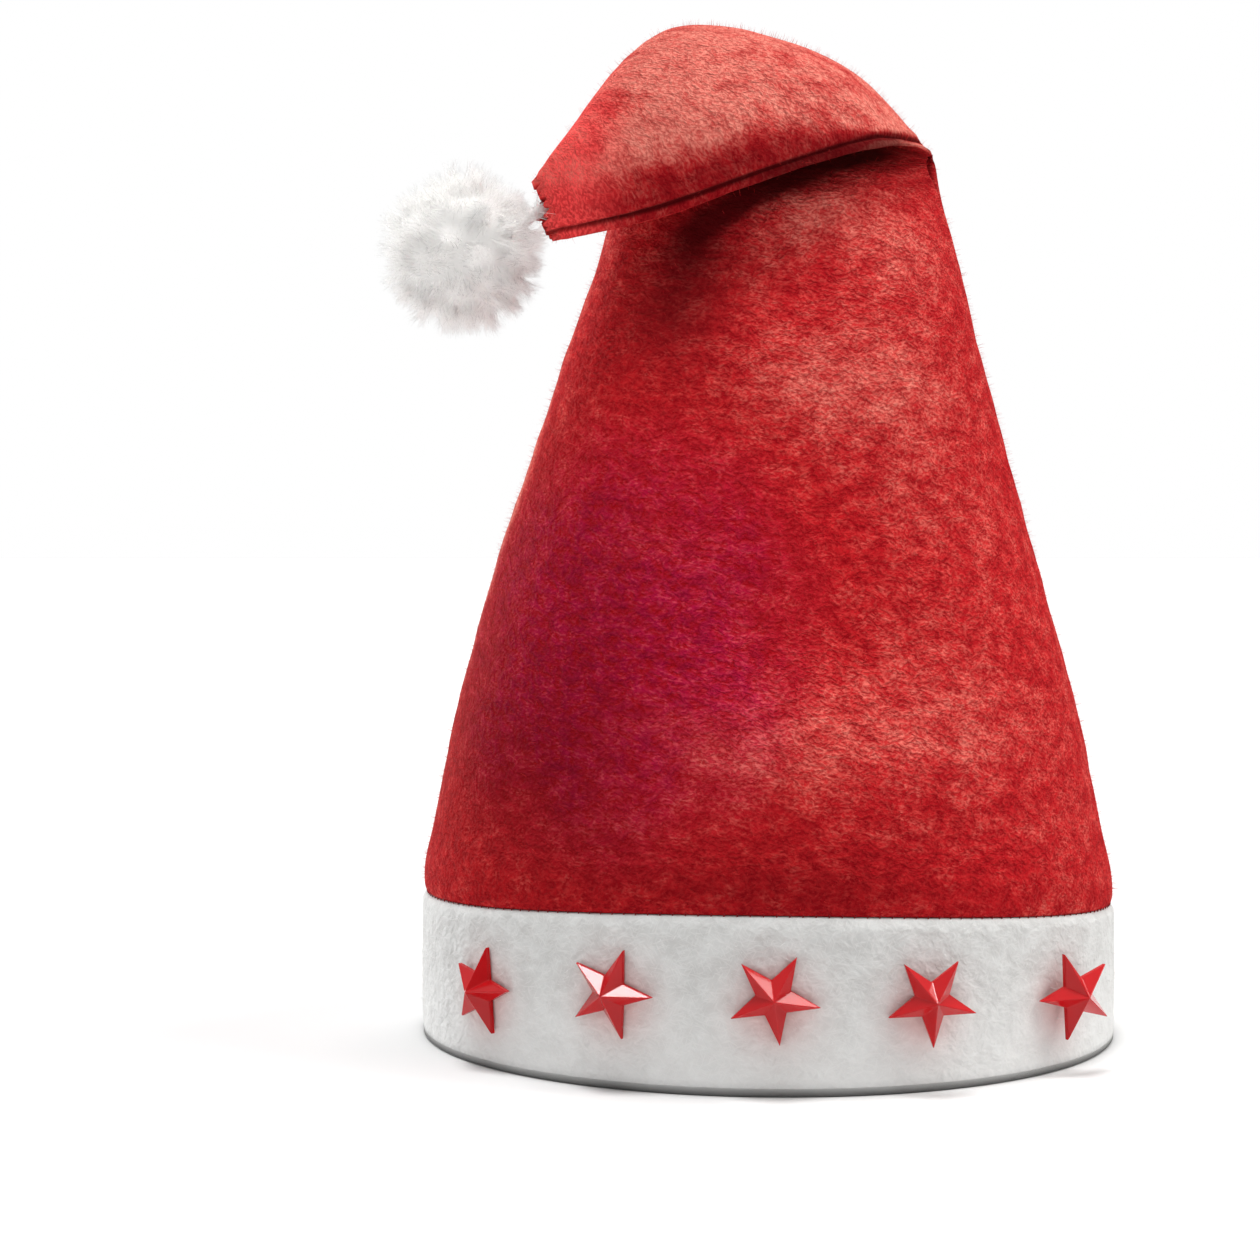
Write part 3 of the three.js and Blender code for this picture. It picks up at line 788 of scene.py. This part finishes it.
def makeBand():
    look = band
    section, fuzzyRows = bandSection()
    angles = 2 * math.pi * np.arange(look["columns"]) / look["columns"]
    points = np.zeros((len(section), look["columns"], 3))
    for row, (out, share, lift) in enumerate(section):
        radius = look["radius"] + out
        x, y = radius * np.cos(angles), radius * np.sin(angles)
        points[row] = np.stack([x, y, share * (look["height"] + bandRise(x, y)) + lift], 1)
    outward = points * (1, 1, 0) / np.linalg.norm(points * (1, 1, 0), axis=2, keepdims=True)
    calm = ramp(points[..., 2], 0, look["calmBelow"])
    broad, fine = look["waveLengths"]
    swell = ripple(points * (1, 1, look["waveFlatten"]), broad, 6)
    swell = swell + look["waveShare"] * ripple(points, fine, 7)
    points = points + outward * (look["wave"] * swell * calm)[..., None]
    points[..., 2] = np.maximum(points[..., 2], 0)
    rows, columns = points.shape[:2]
    faces = []
    for row in range(rows):
        a, b = row * columns, ((row + 1) % rows) * columns
        faces += [(a + c, a + (c + 1) % columns, b + (c + 1) % columns, b + c) for c in range(columns)]
    mesh = meshFrom("bandFelt", points.reshape(-1, 3) * mm + hatAxis, faces)

    climb = np.concatenate([[0], np.cumsum(np.linalg.norm(np.diff(points[:, 0], axis=0), axis=1))])
    turn = 2 * math.pi * look["radius"] / columns

    def across(face, corner):
        closing = (face % columns == columns - 1) & (corner % columns == 0)
        return turn * np.where(closing, columns, corner % columns)

    cutMap(mesh, across, lambda face, corner: climb[corner // columns])
    y, z = points[..., 1], points[..., 2]
    # painted red light from the stars
    pointValues(mesh, "blush", paintedStarLight(points))
    # painted contact shadow along the foot
    pointValues(mesh, "paintedContactShadow", look["paintedContactShadow"] * hill(z, 0, look["paintedContactShadowHeight"]))
    # painted light, lighter towards the bottom and the front
    pale = np.clip(1 - z / look["paleHeight"], 0, 1) * np.clip(0.5 - y / look["paleDepth"], 0, 1)
    pointValues(mesh, "pale", pale)
    fuzz = np.zeros((rows, columns))
    fuzz[:fuzzyRows] = ramp(z[:fuzzyRows], look["fuzzFrom"], look["fuzzOver"])
    pointValues(mesh, "fuzz", fuzz)
    print("bandFelt felt area", feltArea(mesh))
    return pieceFrom("bandFelt", mesh, finishes["whiteFelt"])


bandFelt = makeBand()


def storeValue(tree, geometry, name, value, domain):
    inputs = {"Geometry": geometry, "Name": name, "Value": value}
    return put(tree, "GeometryNodeStoreNamedAttribute", inputs, data_type="FLOAT", domain=domain).outputs[0]


strandTaper = 0.8  # how much thinner a strand is at its tip
fuzzSizes = (0.45, 1.15)


# a bent, tapered strand along Z, drawn inside a node tree
def strandInside(tree, given, segments):
    width, length = given["Width"], given["Length"]
    grid = {"Size X": width, "Size Y": length, "Vertices X": 2, "Vertices Y": segments + 1}
    strip = put(tree, "GeometryNodeMeshGrid", grid).outputs["Mesh"]
    spot = put(tree, "ShaderNodeSeparateXYZ", {0: put(tree, "GeometryNodeInputPosition").outputs[0]}).outputs
    share = plus(tree, math2(tree, "DIVIDE", spot["Y"], length), 0.5)
    thin = minus(tree, 1.0, times(tree, share, strandTaper))
    strip = storeValue(tree, strip, "tip", share, "POINT")
    lean = times(tree, times(tree, share, share), times(tree, given["Bend"], length))
    grown = vectorOf(tree, {0: times(tree, spot["X"], thin), 1: lean, 2: times(tree, share, length)})
    return put(tree, "GeometryNodeSetPosition", {"Geometry": strip, "Position": grown}).outputs[0]


def randomBetween(tree, low, high, seed):
    return put(tree, "FunctionNodeRandomValue", {2: low, 3: high, 8: seed}, data_type="FLOAT").outputs[1]


def fuzzAt(tree):
    named = put(tree, "GeometryNodeInputNamedAttribute", {"Name": "fuzz"}, data_type="FLOAT")
    return named.outputs["Attribute"]


# roots on the faces, the closer together the thicker the fuzz is
def rootsOn(tree, given, thick):
    density = times(tree, given["Density"], thick)
    inputs = {"Mesh": given["Geometry"], "Density": density, "Seed": given["Seed"]}
    return put(tree, "GeometryNodeDistributePointsOnFaces", inputs, distribute_method="RANDOM").outputs


def turnedBy(tree, rotation, angles):
    turn = put(tree, "FunctionNodeEulerToRotation", {0: vectorOf(tree, angles)}).outputs[0]
    return put(tree, "FunctionNodeRotateRotation", {0: rotation, 1: turn}, rotation_space="LOCAL").outputs[0]


# one copy on each point, with a tone of its own, made real and given its material
def endTree(tree, given, made, copies, tone):
    placed = put(tree, "GeometryNodeInstanceOnPoints", copies).outputs[0]
    toned = storeValue(tree, placed, "tone", tone, "INSTANCE")
    real = put(tree, "GeometryNodeRealizeInstances", {"Geometry": toned}).outputs[0]
    dressed = put(tree, "GeometryNodeSetMaterial", {"Geometry": real, "Material": given["Material"]})
    tree.links.new(dressed.outputs[0], made["Geometry"])


# loose felt fibres that stand and lie over the felt in every direction
def fuzzTree():
    tree, given, made = newGroup(
        "feltFuzz", "GeometryNodeTree",
        [("Geometry", "Geometry", None), ("Density", "Float", 4e5), ("Width", "Float", 0.00012),
         ("Length", "Float", 0.003), ("Bend", "Float", 0.4), ("Lowest Tilt", "Float", 0.5),
         ("Highest Tilt", "Float", 1.45), ("Seed", "Int", 1), ("Material", "Material", None)],
        [("Geometry", "Geometry")])
    roots = rootsOn(tree, given, fuzzAt(tree))
    tilt = randomBetween(tree, given["Lowest Tilt"], given["Highest Tilt"], 11)
    spin = randomBetween(tree, 0.0, 2 * math.pi, 12)
    facing = turnedBy(tree, roots["Rotation"], {0: tilt, 2: spin})
    size = randomBetween(tree, *fuzzSizes, 13)
    strand = strandInside(tree, given, 2)
    copies = {"Points": roots["Points"], "Instance": strand, "Rotation": facing, "Scale": size}
    endTree(tree, given, made, copies, randomBetween(tree, 0.0, 1.0, 14))
    return tree


feltFuzz = fuzzTree()
crownFuzzLook = {
    "Density": 3.2e5, "Width": 0.00008, "Length": 0.0015, "Bend": 0.6,
    "Lowest Tilt": 0.2, "Highest Tilt": 1.25, "Seed": 5, "Material": finishes["redFuzz"],
}
crownFuzz = growNodes(pieceFrom("crownFuzz", crownFelt.data.copy()), feltFuzz, crownFuzzLook)
bandFuzzLook = {
    "Density": 1.1e5, "Width": 0.00009, "Length": 0.0015, "Bend": 0.5,
    "Lowest Tilt": 0.3, "Highest Tilt": 1.3, "Seed": 8, "Material": finishes["whiteFuzz"],
}
bandFuzz = growNodes(pieceFrom("bandFuzz", bandFelt.data.copy()), feltFuzz, bandFuzzLook)


hemSeam = {
    "radius": 91.0, "lift": 0.2, "corners": 240, "swing": 0.15,
    "stitches": {"Spacing": 0.0031, "Thread": 0.0004, "Length": 0.0010, "Lean": 0.3,
                 "Material": finishes["redThread"]},
}


# stitches along a path: short thread ticks that lean a little along the seam
def stitchTree():
    tree, given, made = newGroup(
        "seamStitches", "GeometryNodeTree",
        [("Geometry", "Geometry", None), ("Spacing", "Float", 0.003), ("Thread", "Float", 0.0004),
         ("Length", "Float", 0.0018), ("Lean", "Float", 0.35), ("Material", "Material", None)],
        [("Geometry", "Geometry")])
    line = put(tree, "GeometryNodeMeshToCurve", {0: given["Geometry"]}).outputs[0]
    along = {"Curve": line, "Length": given["Spacing"]}
    spots = put(tree, "GeometryNodeCurveToPoints", along, mode="LENGTH").outputs
    tick = put(tree, "GeometryNodeMeshUVSphere", {"Segments": 6, "Rings": 5, "Radius": 0.5}).outputs["Mesh"]
    size = vectorOf(tree, {0: given["Thread"], 1: given["Thread"], 2: given["Length"]})
    tick = put(tree, "GeometryNodeTransform", {"Geometry": tick, "Scale": size}).outputs[0]
    ahead = put(tree, "FunctionNodeAlignRotationToVector", {"Vector": spots["Tangent"]}, axis="X").outputs[0]
    swing = plus(tree, given["Lean"], randomBetween(tree, -hemSeam["swing"], hemSeam["swing"], 21))
    copies = {"Points": spots["Points"], "Instance": tick, "Rotation": turnedBy(tree, ahead, {1: swing})}
    endTree(tree, given, made, copies, randomBetween(tree, 0.0, 1.0, 22))
    return tree


# the line where the crown leaves the band
def hemLine():
    count = hemSeam["corners"]
    turns = 2 * math.pi * np.arange(count) / count
    x, y = hemSeam["radius"] * np.cos(turns), hemSeam["radius"] * np.sin(turns)
    line = np.stack([x, y, band["height"] + bandRise(x, y) + hemSeam["lift"]], 1) * mm + hatAxis
    mesh = bpy.data.meshes.new("hemStitches")
    mesh.from_pydata([tuple(p) for p in line], [(k, (k + 1) % count) for k in range(count)], [])
    return mesh


hemStitches = growNodes(pieceFrom("hemStitches", hemLine()), stitchTree(), hemSeam["stitches"])


# the stars: the moulded shells with softened edges, in metres and degrees
starLook = {"weld": 1e-6, "flat": 1.0, "sharp": 12.0, "edge": 0.00016, "segments": 2}


def makeStar(number):
    shell = bmesh.new()
    shell.from_mesh(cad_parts[f"star_{number}"].data)
    bmesh.ops.remove_doubles(shell, verts=shell.verts, dist=starLook["weld"])
    bmesh.ops.dissolve_limit(
        shell, angle_limit=math.radians(starLook["flat"]), verts=shell.verts, edges=shell.edges)
    sharpest = math.radians(starLook["sharp"])
    sharp = [e for e in shell.edges if len(e.link_faces) == 2 and e.calc_face_angle() > sharpest]
    bmesh.ops.bevel(
        shell, geom=sharp, offset=starLook["edge"], segments=starLook["segments"], profile=0.5,
        affect="EDGES", clamp_overlap=True)
    mesh = bpy.data.meshes.new(f"starShell_{number}")
    shell.to_mesh(mesh)
    shell.free()
    return pieceFrom(f"starShell_{number}", mesh, finishes["redPlastic"])


starShells = [makeStar(number) for number in starNumbers]
for number in starNumbers:
    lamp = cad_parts[f"lamp_{number}"]
    lamp.data.materials.clear()
    lamp.data.materials.append(finishes["lampResin"])
print("stars made:", len(starShells))


# the pompom: a felted core and its sewn neck, with fur that gathers in clumps, in mm
pompom = {
    "middle": (-79.7, -27.2, 204.7), "core": 16.0, "lumps": ((0.07, 7.0), (0.05, 2.6)),  # height and size
    "neck": 1.4, "neckSpread": 1.4, "neckDepth": 7.0, "neckSides": 20, "neckCuts": 14,
    "furFrom": 0.9, "neckFrom": 1.15, "neckFur": 0.85, "furPastMouth": 0.8,
}


def makePompomCore():
    look = pompom
    core = bmesh.new()
    bmesh.ops.create_icosphere(core, subdivisions=4, radius=look["core"])
    (high, wide), (low, fine) = look["lumps"]
    for vert in core.verts:
        vert.co *= 1 + high * noise.noise(vert.co / wide) + low * noise.noise(vert.co / fine)
    middle = Vector(look["middle"])
    mouth = Vector(seamMiddle(np.array([1.0]))[0]) - middle
    reach = mouth.length + look["neckDepth"]
    neck = bmesh.ops.create_cone(
        core, cap_ends=True, segments=look["neckSides"], radius1=look["neck"] * look["neckSpread"],
        radius2=look["neck"], depth=reach)
    turn = Vector((0, 0, 1)).rotation_difference(mouth)
    for vert in neck["verts"]:
        vert.co = turn @ (vert.co + Vector((0, 0, reach / 2)))
    longEdges = [e for e in core.edges if e.calc_length() > reach / 2]
    bmesh.ops.subdivide_edges(core, edges=longEdges, cuts=look["neckCuts"])
    for vert in core.verts:
        vert.co = (vert.co + middle) * mm + Vector(hatAxis)
    mesh = bpy.data.meshes.new("pompomCore")
    core.to_mesh(mesh)
    core.free()
    shadeSmooth(mesh)

    # fur all over the ball, and on the neck as far as the tip's mouth
    fur = []
    for vert in mesh.vertices:
        away = Vector(vert.co) - Vector(hatAxis) - middle * mm
        along = away.dot(mouth / mouth.length)
        if along > look["neckFrom"] * look["core"] * mm:
            fur.append(look["neckFur"] if along < (mouth.length + look["furPastMouth"]) * mm else 0.0)
        else:
            fur.append(1.0 if away.length > look["furFrom"] * look["core"] * mm else 0.0)
    pointValues(mesh, "fuzz", fur)
    return pieceFrom("pompomCore", mesh, finishes["whiteFur"])


furLook = {
    "Density": 4.4e6, "Width": 0.00019, "Length": 0.0065, "Bend": 0.4, "Clump Size": 0.0065, "Clumping": 1.45,
    "Seed": 3, "Material": finishes["whiteFur"],
}
# how the strands of a tuft go their own ways, and how they share its size and tone
tuftLook = {
    "stray": 0.22, "driftScale": 90.0, "drift": 1.3, "tuftSize": (0.36, 0.74), "strandSize": (0.8, 1.05),
    "tuftTone": 0.6, "strandTone": 0.4,
}


def furTree():
    tree, given, made = newGroup(
        "pompomFur", "GeometryNodeTree",
        [("Geometry", "Geometry", None), ("Density", "Float", 1e7), ("Width", "Float", 0.00028),
         ("Length", "Float", 0.009), ("Bend", "Float", 0.35), ("Clump Size", "Float", 0.006),
         ("Clumping", "Float", 1.0), ("Seed", "Int", 3), ("Material", "Material", None)],
        [("Geometry", "Geometry")])
    thick = fuzzAt(tree)
    roots = rootsOn(tree, given, thick)
    place = put(tree, "GeometryNodeInputPosition").outputs[0]
    cells = {"Vector": place, "Scale": oneOver(tree, given["Clump Size"])}
    tuft = put(tree, "ShaderNodeTexVoronoi", cells).outputs
    pull = vector2(tree, "SUBTRACT", tuft["Position"], place)
    pull = scaled(tree, pull, math2(tree, "DIVIDE", given["Clumping"], given["Length"]))
    most = tuftLook["stray"]
    stray = {0: (-most, -most, -most), 1: (most, most, most), 8: 31}
    stray = put(tree, "FunctionNodeRandomValue", stray, data_type="FLOAT_VECTOR").outputs[0]
    drift = driftNoise(tree, place, tuftLook["driftScale"], tuftLook["drift"])
    ways = roots["Normal"]
    for part in (pull, stray, drift):
        ways = vector2(tree, "ADD", ways, part)
    facing = put(tree, "FunctionNodeAlignRotationToVector", {"Vector": ways}, axis="Z").outputs[0]
    facing = turnedBy(tree, facing, {2: randomBetween(tree, 0.0, 2 * math.pi, 32)})
    perTuft = put(tree, "FunctionNodeSeparateColor", {0: tuft["Color"]}).outputs[0]
    size = linear(tree, perTuft, *tuftLook["tuftSize"])
    size = times(tree, size, randomBetween(tree, *tuftLook["strandSize"], 33))
    size = times(tree, size, thick)
    strand = strandInside(tree, given, 3)
    copies = {"Points": roots["Points"], "Instance": strand, "Rotation": facing, "Scale": size}
    ownTone = randomBetween(tree, 0.0, tuftLook["strandTone"], 34)
    tone = plus(tree, times(tree, perTuft, tuftLook["tuftTone"]), ownTone)
    endTree(tree, given, made, copies, tone)
    return tree


pompomCore = makePompomCore()
pompomFur = growNodes(pieceFrom("pompomFur", pompomCore.data.copy()), furTree(), furLook)


# floor, world, lights and camera
stageLook = {
    "reach": 20.0, "paper": (0.66, 0.68), "cloudScale": 3.0, "floorBounce": 0.75,
    "floor": {"Roughness": 0.9, "Specular IOR Level": 0.1}, "horizon": 0.16, "overhead": 0.9,
}
# where each light comes from, how far it spreads in degrees, its strength and its tint
lights = {
    "rightKey": ((0.66, 0.02, 0.75), 28.0, 1.6, (1.0, 0.98, 0.95)),
    "leftFill": ((-0.62, 0.85, 0.24), 20.0, 2.2, (1, 1, 1)),
    "topLight": ((-0.05, -0.03, 1.0), 18.0, 2.1, (1, 1, 1)),
}


def makeFloor():
    reach = stageLook["reach"]
    corners = [(-reach, -reach, 0), (reach, -reach, 0), (reach, reach, 0), (-reach, reach, 0)]
    mesh = meshFrom("paleFloor", corners, [(0, 1, 2, 3)])
    material, tree, shader = blankMaterial("paleFloor", stageLook["floor"])
    cloud = cloudNoise(tree, objectPlace(tree), stageLook["cloudScale"], 2.0)[0]
    paper = mixColour(tree, cloud, *(grey(value) for value in stageLook["paper"]))
    seen = put(tree, "ShaderNodeLightPath").outputs["Is Camera Ray"]
    tree.links.new(mixColour(tree, seen, grey(stageLook["floorBounce"]), paper), shader["Base Color"])
    pieceFrom("paleFloor", mesh, material)


def makeWorld():
    world = bpy.data.worlds.new("paleStudio")
    bpy.context.scene.world = world
    world.use_nodes = True
    tree = world.node_tree
    tree.nodes.clear()
    way = put(tree, "ShaderNodeTexCoord").outputs["Generated"]
    rise = put(tree, "ShaderNodeSeparateXYZ", {0: way}).outputs["Z"]
    glow = mapTo(tree, rise, 0.0, 1.0, stageLook["horizon"], stageLook["overhead"], kind="LINEAR")
    soft = put(tree, "ShaderNodeBackground", {"Color": grey(1), "Strength": glow}).outputs[0]
    plain = put(tree, "ShaderNodeBackground", {"Color": grey(1), "Strength": 1.0}).outputs[0]
    seen = put(tree, "ShaderNodeLightPath").outputs["Is Camera Ray"]
    both = put(tree, "ShaderNodeMixShader", {0: seen, 1: soft, 2: plain}).outputs[0]
    put(tree, "ShaderNodeOutputWorld", {"Surface": both})


def softSun(name, comesFrom, spread, strength, tint):
    light = bpy.data.lights.new(name, "SUN")
    light.energy, light.angle, light.color = strength, math.radians(spread), tint
    sun = bpy.data.objects.new(name, light)
    bpy.context.scene.collection.objects.link(sun)
    sun.rotation_euler = (-Vector(comesFrom)).to_track_quat("-Z", "Y").to_euler()


makeFloor()
makeWorld()
for name, settings in lights.items():
    softSun(name, *settings)

# the photograph's own camera: place in metres from the hat's axis, focal length and horizon in pixels
photo = {
    "place": (-0.0367, -0.700, 0.130), "focal": 2611.0, "frame": 1260.0, "horizon": 543.0, "sensor": 36.0,
}
camera = bpy.data.objects.new("photoCamera", bpy.data.cameras.new("photoCamera"))
bpy.context.scene.collection.objects.link(camera)
camera.data.sensor_width = photo["sensor"]
camera.data.lens = photo["sensor"] * photo["focal"] / photo["frame"]
camera.data.clip_start = 0.01
camera.location = Vector(hatAxis) + Vector(photo["place"])
dip = math.atan((photo["frame"] / 2 - photo["horizon"]) / photo["focal"])
camera.rotation_euler = (math.pi / 2 - dip, 0, 0)
bpy.context.scene.camera = camera
bpy.context.scene.view_settings.view_transform = "Standard"
print("stage and camera set")


# what each piece rides on, listed by what it is made of; the model's parts that they stand for are hidden
made = {
    "red_felt": [crownFelt, crownFuzz, hemStitches], "white_felt": [bandFelt, bandFuzz],
    "white_fur": [pompomCore, pompomFur], "red_plastic": starShells,
}
for slot, group in made.items():
    for piece in group:
        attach(piece, "root")
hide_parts("crown")
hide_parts("band")
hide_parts("pompom")
for number, shell in zip(starNumbers, starShells):
    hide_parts(f"star_{number}")
